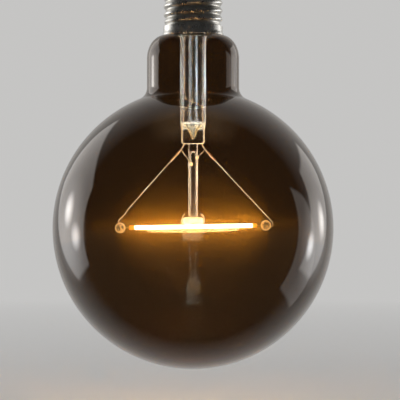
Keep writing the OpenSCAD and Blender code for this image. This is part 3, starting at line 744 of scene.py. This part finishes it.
trumpet_z = PRESS_TOP_Z + TRUMPET_H
tip_z = PRESS_TOP_Z + EXHAUST_H - EXHAUST_TIP_H
exhaust_outline = (
    [(FUNNEL_TOP_R, PRESS_TOP_Z), (TRUMPET_R, PRESS_TOP_Z)]
    + oval(TRUMPET_R, trumpet_z, TRUMPET_R - EXHAUST_R, TRUMPET_H - TRUMPET_EDGE, -90, -180, 16)
    + [(EXHAUST_R, z) for z in steps(trumpet_z, tip_z, 10)[1:-1]]
    + oval(0, tip_z, EXHAUST_R, EXHAUST_TIP_H, 0, 90, 20)
    + oval(0, tip_z, EXHAUST_BORE, EXHAUST_BORE_TIP_H, 90, 0, 16)
    + [(EXHAUST_BORE, z) for z in steps(tip_z, trumpet_z, 10)[1:-1]]
    + oval(FUNNEL_TOP_R, trumpet_z, FUNNEL_TOP_R - EXHAUST_BORE, TRUMPET_H, -180, -90, 16)
)
lathe("exhaust_glass", exhaust_outline, exhaust_glass, ["exhaust_tube"], segs=72, sharp=55)


# Arbor and button

def bead(name, centre, r, replaced, segs, rings):
    """Ball of bead glass about a centre."""
    outline = [(r * math.sin(t), -r * math.cos(t)) for t in steps(0, math.pi, rings)]
    lathe(
        name, outline, bead_glass, replaced, segs, closed=False, move=lambda v: v + centre
    )


def strut_seat(degrees, drop):
    """Centre of a strut's bead, at an angle round the arbor and a drop below the press."""
    return Vector((*polar(ARBOR_R + STRUT_D / 2, math.radians(degrees)), PRESS_FOOT_Z - drop))


SEATS = {"left": strut_seat(251, 9.1), "right": strut_seat(-39, 6.2)}

dome_z = PRESS_FOOT_Z - ARBOR_DOME_DROP
arbor_outline = (
    [(ARBOR_BORE, BUTTON_TOP_Z)]
    + [(ARBOR_R, z) for z in steps(BUTTON_TOP_Z, PRESS_FOOT_Z, 12)]
    + [(0.0, PRESS_FOOT_Z)]
    + oval(0, dome_z, ARBOR_BORE, ARBOR_DOME_H, 90, 0, 8)
    + [(ARBOR_BORE, z) for z in steps(dome_z, BUTTON_TOP_Z, 12)[1:-1]]
)
lathe("arbor_glass", arbor_outline, arbor_glass, ["arbor_tube"], segs=64, sharp=55)
for side_name, seat in SEATS.items():
    bead(f"{side_name}_strut_bead", seat, STRUT_BEAD_R, [], segs=40, rings=24)

button_outline = (
    [(0.0, BUTTON_FOOT_Z)]
    + arc(BUTTON_R - BUTTON_ROUND, BUTTON_FOOT_Z + BUTTON_ROUND, BUTTON_ROUND, -90, 0, 12)
    + arc(BUTTON_R - BUTTON_ROUND, BUTTON_TOP_Z - BUTTON_ROUND, BUTTON_ROUND, 0, 90, 12)
    + [(0.0, BUTTON_TOP_Z)]
)
lathe(
    "button_glass", button_outline, button_glass, ["arbor_button"], segs=96, closed=False,
    sharp=60
)


# Filament

def on_filament(x, y=0.0, z=0.0):
    """Point of the filament's own frame, whose X runs along it, in the lamp's frame."""
    c = math.cos(FILAMENT_TILT)
    s = math.sin(FILAMENT_TILT)
    return Vector((x * c - z * s, y, FILAMENT_Z + x * s + z * c))


def sheath_piece():
    """Moulded phosphor sheath with rounded, slightly drawn-in ends, lit but for those."""
    segs = 28
    end = FILAMENT_L / 2
    left_end = []
    right_end = []
    for t in turns(0, 90, 8):
        inset = FILAMENT_END * (1 - math.cos(t))
        r = FILAMENT_END_R + FILAMENT_END * math.sin(t)
        left_end.append((-end + inset, r))
        right_end.insert(0, (end - inset, r))
    middle = []
    for x in steps(-end + FILAMENT_END, end - FILAMENT_END, 116)[1:-1]:
        ripple = SHEATH_RIPPLE * math.sin(x * SHEATH_RIPPLE_RATE)
        dip = SHEATH_DIP * (1 - math.cos(x * SHEATH_DIP_RATE))
        middle.append((x, FILAMENT_R - SHEATH_DRAWN_IN + (ripple - dip)))
    stations = left_end + middle + right_end
    verts = [tuple(on_filament(x, *polar(r, a))) for x, r in stations for a in round_angles(segs)]
    lit, dim = range(2)
    zones = []
    for (x, _), (next_x, _) in zip(stations, stations[1:]):
        zones += [lit if LIT_LEFT < (x + next_x) / 2 < LIT_RIGHT else dim] * segs
    zones += [dim, dim]
    return piece(
        "phosphor_sheath_glow", verts, rod_faces(len(stations), segs), phosphor_lit, ["phosphor_sheath"],
        more_materials=(phosphor_dim,), zones=zones
    )


sheath = sheath_piece()
for side_name, side in SIDES:
    bead(
        f"{side_name}_end_bead", on_filament(side * BEAD_X), BEAD_R, [f"{side_name}_bead"], segs=64, rings=40
    )


# Wires of the mount

# The leads' last bends, (x, z) from the centre of the end bead
LEAD_BENDS = {
    "left": ((3.3, 8.2), (2.2, 6.2), (-0.9, BEAD_R + 0.9), (-0.4, BEAD_R - 1.3)),
    "right": ((1.3, BEAD_R + 1), (BEAD_R + 0.7, 1.3), (BEAD_R + 0.7, -0.5), (BEAD_R - 1, -0.7)),
}


def sleeve_outline():
    """Crimped tube with a rolled edge at both ends and nips along it."""
    outline = [(SLEEVE_BORE, 0.0)]
    for s in steps(0, 1, 56):
        nips = sum(math.exp(-(((s - nip) / SLEEVE_NIP_W) ** 2)) for nip in SLEEVE_NIPS)
        r = SLEEVE_R - SLEEVE_NIP * nips
        from_end = min(s, 1 - s) * SLEEVE_L
        if from_end < SLEEVE_EDGE:
            r -= SLEEVE_EDGE - math.sqrt(max(0.0, SLEEVE_EDGE ** 2 - (SLEEVE_EDGE - from_end) ** 2))
        outline.append((r, SLEEVE_L * s))
    return outline + [(SLEEVE_BORE, SLEEVE_L)]


def hook_path(side):
    """Bow beside the button, then a turn under the filament."""
    bow_x = BUTTON_R + HOOK_D / 2 + HOOK_FROM_BUTTON
    bow = arc(bow_x - HOOK_BOW_R, BUTTON_FOOT_Z + HOOK_BOW_RISE, HOOK_BOW_R, 48, -14, 20)
    foot_x = bow[-1][0]
    wrap_r = FILAMENT_R + HOOK_D / 2 + GAP
    wrap_z = FILAMENT_Z + side * foot_x * math.tan(FILAMENT_TILT)
    path = [Vector((side * r, 0, z)) for r, z in bow]
    for t in turns(45, 252, 27):
        path.append(Vector((side * foot_x, -wrap_r * math.sin(t), wrap_z + wrap_r * math.cos(t))))
    return path


for side_name, side in SIDES:
    kink = Vector((side * KINK_X, 0, PRESS_FOOT_Z - KINK_DROP))
    bead_centre = on_filament(side * BEAD_X)
    route = [
        Vector((side * FEED_X, 0, PRESS_FOOT_Z)),
        Vector((side * FEED_X, 0, PRESS_FOOT_Z - LEAD_STRAIGHT)),
        kink,
        *(bead_centre + Vector((x, 0, z)) for x, z in LEAD_BENDS[side_name]),
    ]
    wire(f"{side_name}_lead_wire", rounded(route, LEAD_BEND), LEAD_D, lead_wire, [f"{side_name}_lead"])

    down = (route[3] - kink).normalized()
    sleeve_start = kink + down * SLEEVE_START
    turn = down.to_track_quat("Z", "Y")
    lathe(
        f"{side_name}_sleeve", sleeve_outline(), sleeve_metal, [f"{side_name}_weld_sleeve"],
        segs=32, move=lambda v: tuple(sleeve_start + turn @ v), sharp=50
    )

    seat = SEATS[side_name]
    strut_end = kink + (seat - kink).normalized() * (LEAD_D / 2 + STRUT_D / 2 + STRUT_FROM_LEAD)
    strut = steps(seat, strut_end, max(1, int((strut_end - seat).length / STRUT_STEP)))
    wire(f"{side_name}_strut_wire", strut, STRUT_D, lead_wire, [f"{side_name}_strut"])
    wire(f"{side_name}_hook_wire", hook_path(side), HOOK_D, lead_wire, [f"{side_name}_hook"])


def feed_path(pad_x, from_degrees, to_degrees, turn_top, turn_h):
    """Feed wire from the board down the stem, with a turn past the exhaust tube. turn_top is the height over
    the press at which the turn starts, and turn_h its own height."""
    pad_y = BOARD_Y - FEED_D / 2 - GAP
    a = math.radians(from_degrees)
    b = math.radians(to_degrees)
    turn_z = PRESS_TOP_Z + turn_top
    run = polar(FEED_RUN_R, a)
    top = rounded([
        Vector((pad_x, pad_y, BOARD_FOOT_Z + FEED_ON_PAD)),
        Vector((pad_x, pad_y, SEAL_Z - FEED_DIVE)),
        Vector((*run, SEAL_Z - FEED_SWERVE)),
        Vector((*run, turn_z + FEED_EASE)),
    ], FEED_BEND)
    turn = []
    for s in steps(0, 1, 32):
        r = FEED_RUN_R + (FEED_X - FEED_RUN_R) * s
        turn.append(Vector((*polar(r, a + (b - a) * s), turn_z - turn_h * s)))
    x = FEED_X * math.cos(b)
    return top + turn + [Vector((x, 0, PRESS_TOP_Z + FEED_OVER_PRESS)), Vector((x, 0, PRESS_FOOT_Z))]


for side_name, path in (
    ("left", feed_path(-0.6, 100, 180, turn_top=9.5, turn_h=5)),
    ("right", feed_path(-4.2, 198, 360, turn_top=11.2, turn_h=4.6)),
):
    wire(f"{side_name}_feed", path, FEED_D, copper_wire, [f"{side_name}_feed_wire"])


# Cap

SHELL_RIM = ((13.6, -25.4), (13.6, -24.95), (13.56, -24.75), (13.35, -24.3), (13.22, -23.95))


def shell_piece():
    """Threaded sheet: its rim, its skirt, the thread, whose radius swings once a turn, and the turned lip."""
    segs = 168

    def section(angle, inset):
        """Outline of one skin of the sheet at an angle."""
        outline = [(r - inset, z) for r, z in SHELL_RIM]
        outline += [(SKIRT_R - inset, z) for z in steps(SKIRT_FOOT_Z, SKIRT_TOP_Z, 4)]
        for z in steps(THREAD_FOOT_Z, THREAD_TOP_Z, 116):
            fade = min(1.0, (z - THREAD_FOOT_Z) / THREAD_RUN_OUT, (THREAD_TOP_Z - z) / THREAD_RUN_OUT)
            swing = SWING * (1 + math.cos(2 * math.pi * z / PITCH - angle)) * max(0.0, fade)
            outline.append((ROOT_R + swing - inset, z))
        outline += arc(
            ROOT_R - SHELL_TOP_ROUND, SHELL_TOP_Z - SHELL_TOP_ROUND, SHELL_TOP_ROUND - inset, 12, 90, 10
        )
        return outline + [(SHELL_LIP_R, SHELL_TOP_Z - inset)]

    verts = []
    for angle in round_angles(segs):
        outline = section(angle, 0.0) + section(angle, SHEET_T)[::-1]
        verts += [(*polar(r, angle), z) for r, z in outline]
    count = len(verts) // segs
    rings = [[j * count + k for j in range(segs)] for k in range(count)]
    piece(
        "shell_metal", verts, skin(rings, closed=True), nickel_shell, ["screw_shell"], sharp=50
    )


shell_piece()

insulator_outline = (
    [(0.8, -1.5), (5.0, -1.5)]
    + arc(5.0, -1.9, 0.4, 80, 20, 5)
    + [(5.75, -2.1), (7.2, -3.0), (8.6, -3.7), (9.3, -4.05), (9.66, -4.3), (9.68, -4.65), (10.55, -4.65)]
    + [(10.55, -6.25), (8.75, -6.25), (4.75, -3.5), (0.8, -3.5)]
)
lathe(
    "insulator_glass", insulator_outline, finish["black_glass"], ["cap_insulator"], segs=128,
    sharp=30
)

contact_outline = (
    [(CONTACT_BORE, -CONTACT_H), (CONTACT_R, -CONTACT_H), (CONTACT_R, -CONTACT_ROUND)]
    + arc(CONTACT_R - CONTACT_ROUND, -CONTACT_ROUND, CONTACT_ROUND, 0, 90, 10)[1:]
    + [(3.2, 0.0), (2.3, 0.0)]
    + oval(0, 0, DISH_R, DISH_H, 0, -75, 14)
)
lathe("contact_brass", contact_outline, finish["brass"], ["centre_contact"], segs=96, sharp=40)


def out_of_round(v):
    """Point of the turned blob of solder, drawn in a little in three places round it."""
    k = 1 - SOLDER_LUMP * (0.5 + 0.5 * math.sin(3 * math.atan2(v.y, v.x) + 0.7))
    return (v.x * k, v.y * k, v.z)


blob_foot = oval(0, 0, SOLDER_R, SOLDER_H, -70, -20, 8)
blob_r, blob_z = blob_foot[-1]
blob_outline = [(0.0, blob_foot[0][1])] + blob_foot + oval(0, blob_z, blob_r, SOLDER_RISE, 0, 90, 8)
lathe(
    "contact_solder_blob", blob_outline, finish["solder"], ["contact_solder"], segs=56,
    move=out_of_round, sharp=60
)


# Stage

PALE = (0.56, 0.556, 0.548)
FLOOR_COLOUR = (0.6, 0.596, 0.588)
FLOOR_Z = -0.2
FLOOR_REACH = 8.0
FLOOR_FADE = (0.25, 0.9)
MIRRORED = (0.03, 0.9)
WHITE = (1.0, 1.0, 1.0)


def floor_material():
    """Pale floor that takes shadows, fades to the backdrop's colour far off and is clear from below."""
    m, nt, out = tree("floor")
    far = spread(nt, length(nt, place_of(nt)), 0.0, 1.0, *FLOOR_FADE)
    matt = add(nt, "ShaderNodeBsdfDiffuse", Color=FLOOR_COLOUR, Roughness=0.5)
    flat = add(nt, "ShaderNodeEmission", Color=PALE, Strength=1.0)
    fade = calc(nt, "MULTIPLY", far, seen(nt, nt.nodes.new("ShaderNodeLightPath")))
    above = mix(nt, fade, matt.outputs[0], flat.outputs[0])
    below = add(nt, "ShaderNodeBsdfTransparent", Color=WHITE)
    side = nt.nodes.new("ShaderNodeNewGeometry").outputs["Backfacing"]
    nt.links.new(mix(nt, side, above, below.outputs[0]), out.inputs[0])
    return m


floor_mesh = bpy.data.meshes.new("floor")
floor_corners = [(x * FLOOR_REACH, y * FLOOR_REACH, 0) for x, y in ((-1, -1), (1, -1), (1, 1), (-1, 1))]
floor_mesh.from_pydata(floor_corners, [], [(0, 1, 2, 3)])
floor_mesh.materials.append(floor_material())
floor = link("floor", floor_mesh)
floor.location = (0, 0, FLOOR_Z)
floor.visible_glossy = False

world = bpy.data.worlds.new("studio")
bpy.context.scene.world = world
world.use_nodes = True
wt = world.node_tree
wt.nodes.clear()
soft = add(wt, "ShaderNodeBackground", Color=WHITE, Strength=0.5)
shown = add(wt, "ShaderNodeBackground", Color=PALE, Strength=1.0)
path = wt.nodes.new("ShaderNodeLightPath")
# Reflections show the pale backdrop behind the lamp, and less of it on the camera's side
way = wt.nodes.new("ShaderNodeSeparateXYZ")
wt.links.new(wt.nodes.new("ShaderNodeTexCoord").outputs["Generated"], way.inputs[0])
open_side = spread(wt, way.outputs[1], *MIRRORED, 0.2, 0.9)
mirrored = add(wt, "ShaderNodeBackground", Color=PALE, Strength=open_side)
straight = mix(wt, seen(wt, path), soft.outputs[0], shown.outputs[0])
backdrop = mix(wt, path.outputs["Is Glossy Ray"], straight, mirrored.outputs[0])
wt.links.new(backdrop, wt.nodes.new("ShaderNodeOutputWorld").inputs[0])


# Lamps

CENTRE = (0, 0, GLOBE_Z * MM)
SIDE_LAMP_DISTANCE = 0.8


def lamp(name, width, height, radiance=1.0):
    """Rectangular lamp that no camera sees, with the energy that gives its face a radiance."""
    data = bpy.data.lights.new(name, "AREA")
    data.shape = "RECTANGLE"
    data.size = width
    data.size_y = height
    data.energy = radiance * math.pi * width * height
    o = link(name, data)
    o.visible_camera = False
    return o


def softbox(name, place, width, height, cloths, spots=(), edge=0.03):
    """Lamp that faces the globe. cloths are the lit panels on it, each a convex outline of (x, y) corners,
    anticlockwise in shares of the width and height, and its radiance. spots are the bulbs behind them: each
    (x, y, half width, half height, radiance)."""
    o = lamp(name, width, height)
    o.location = place
    o.rotation_mode = "QUATERNION"
    o.rotation_quaternion = (Vector(place) - Vector(CENTRE)).to_track_quat("Z", "Y")
    o.data.use_nodes = True
    nt = o.data.node_tree
    nt.nodes.clear()
    split = nt.nodes.new("ShaderNodeSeparateXYZ")
    nt.links.new(nt.nodes.new("ShaderNodeNewGeometry").outputs["Parametric"], split.inputs[0])
    x = split.outputs[0]
    y = split.outputs[1]

    level = 0.0
    for corners, radiance in cloths:
        share = 1.0
        for (ax, ay), (bx, by) in zip(corners, corners[1:] + corners[:1]):
            far = math.hypot(bx - ax, by - ay)
            inward_x = calc(nt, "MULTIPLY", calc(nt, "SUBTRACT", x, ax), (ay - by) / far)
            inward_y = calc(nt, "MULTIPLY", calc(nt, "SUBTRACT", y, ay), (bx - ax) / far)
            depth = calc(nt, "ADD", inward_x, inward_y)
            share = calc(nt, "MULTIPLY", share, spread(nt, depth, 0.0, 1.0, 0.0, edge))
        level = calc(nt, "ADD", level, calc(nt, "MULTIPLY", share, radiance))
    for cx, cy, half_w, half_h, radiance in spots:
        across = calc(nt, "DIVIDE", calc(nt, "SUBTRACT", x, cx), half_w)
        along = calc(nt, "DIVIDE", calc(nt, "SUBTRACT", y, cy), half_h)
        away = calc(nt, "ADD", calc(nt, "MULTIPLY", across, across), calc(nt, "MULTIPLY", along, along))
        bulb = spread(nt, away, 1.0, 0.0)
        level = calc(nt, "ADD", level, calc(nt, "MULTIPLY", calc(nt, "MULTIPLY", bulb, bulb), radiance))
    glow = add(nt, "ShaderNodeEmission", Color=WHITE, Strength=level)
    nt.links.new(glow.outputs[0], nt.nodes.new("ShaderNodeOutputLight").inputs[0])
    return o


def around(degrees, rise):
    """Place of a side lamp: an angle from the camera, positive to the right, and a rise over the globe."""
    t = math.radians(degrees)
    return (SIDE_LAMP_DISTANCE * math.sin(t), -SIDE_LAMP_DISTANCE * math.cos(t), CENTRE[2] + rise)


left_cloth = [(0.085, 0.93), (0.085, 0.54), (0.52, 0.14), (0.96, 0.15), (0.94, 0.7), (0.76, 0.8), (0.5, 0.875)]
softbox(
    "left_softbox", around(-121, rise=0.1), width=0.9, height=1.3,
    cloths=[(left_cloth, 0.8)],
    spots=[(0.54, 0.5, 0.14, 0.095, 3.9), (0.75, 0.375, 0.14, 0.095, 3.7), (0.62, 0.4, 0.42, 0.32, 1.1)],
)
softbox(
    "right_softbox", around(119, rise=-0.06), width=1.0, height=1.3,
    cloths=[
        ([(0.91, 0.905), (0.41, 0.87), (0.22, 0.29), (0.545, 0.3), (0.91, 0.757)], 0.75),
        ([(0.05, 0.88), (0.07, 0.07), (0.57, 0.12), (0.56, 0.31), (0.28, 0.745)], 0.4),
    ],
    spots=[
        (0.577, 0.573, 0.105, 0.0975, 3.0), (0.337, 0.452, 0.091, 0.092, 4.4), (0.45, 0.49, 0.36, 0.28, 0.95),
    ],
)
top_softbox = softbox(
    "top_softbox", (0, 0.06, 0.6), width=0.7, height=0.6,
    cloths=[([(0, 1), (0, 0), (1, 0), (1, 1)], 1.6)], edge=0.3
)
top_softbox.visible_glossy = False

# The filament lights the lamp's own glass and wires, not the floor and the cap. A lamp that lies close over it
# helps it to light the mount.
GLASS_PIECES = (
    "stem_glass", "exhaust_glass", "arbor_glass", "button_glass", "left_strut_bead", "right_strut_bead",
    "left_end_bead", "right_end_bead",
)
METAL_PIECES = (
    "left_lead_wire", "right_lead_wire", "left_sleeve", "right_sleeve", "left_strut_wire", "right_strut_wire",
    "left_hook_wire", "right_hook_wire", "left_feed", "right_feed",
)
TERMINALS = ("left_terminal", "right_terminal")


def receivers(name, pieces, cad=()):
    """Collection of the pieces and CAD nodes that a lamp lights."""
    group = bpy.data.collections.new(name)
    for o in [bpy.data.objects[p] for p in pieces] + [nodes[n] for n in cad]:
        group.objects.link(o)
    return group


mount = receivers("mount", GLASS_PIECES + METAL_PIECES, TERMINALS)
sheath.light_linking.receiver_collection = receivers(
    "lit_by_filament", ("globe_glass",) + GLASS_PIECES + METAL_PIECES, TERMINALS
)

GLOW_OVER_SHEATH = 0.06
glow_over = lamp("glow_over", width=0.055, height=0.0019, radiance=28000.0)
glow_over.data.color = (0.4, 0.625, 1.0)
glow_over.location = on_filament(0, 0, FILAMENT_R + GLOW_OVER_SHEATH) * MM
glow_along = on_filament(1) - on_filament(0)
glow_back = on_filament(0) - on_filament(0, 0, 1)
glow_over.rotation_mode = "QUATERNION"
glow_over.rotation_quaternion = Matrix(
    (glow_along, glow_back.cross(glow_along), glow_back)
).transposed().to_quaternion()
glow_over.light_linking.receiver_collection = mount

# Strip lamps beside the tubes stand for the studio light that these pipe along their walls. Each row has the
# lamp's distance from the axis, its top and foot, its colour, its radiance and what it lights.
STRIP_W = 0.004
tubes = receivers("tubes", ("stem_glass", "exhaust_glass", "left_feed", "right_feed"))
foot = receivers("foot", ("stem_glass", "arbor_glass", "left_strut_bead", "right_strut_bead"))
for name, x, top_z, foot_z, colour, radiance, lit in (
    ("stem_strip", 0.016, -0.024, -0.066, (0.24, 0.46, 1.0), 700, tubes),
    ("arbor_strip", 0.014, -0.068, -0.106, (0.65, 0.8, 1.0), 300, foot),
):
    for _, side in SIDES:
        strip = lamp(f"{name}_{side}", STRIP_W, top_z - foot_z, radiance)
        strip.data.color = colour
        strip.location = (side * x, 0, (top_z + foot_z) / 2)
        strip.rotation_euler = (0, side * math.radians(90), 0)
        strip.visible_glossy = False
        strip.visible_transmission = False
        strip.light_linking.receiver_collection = lit
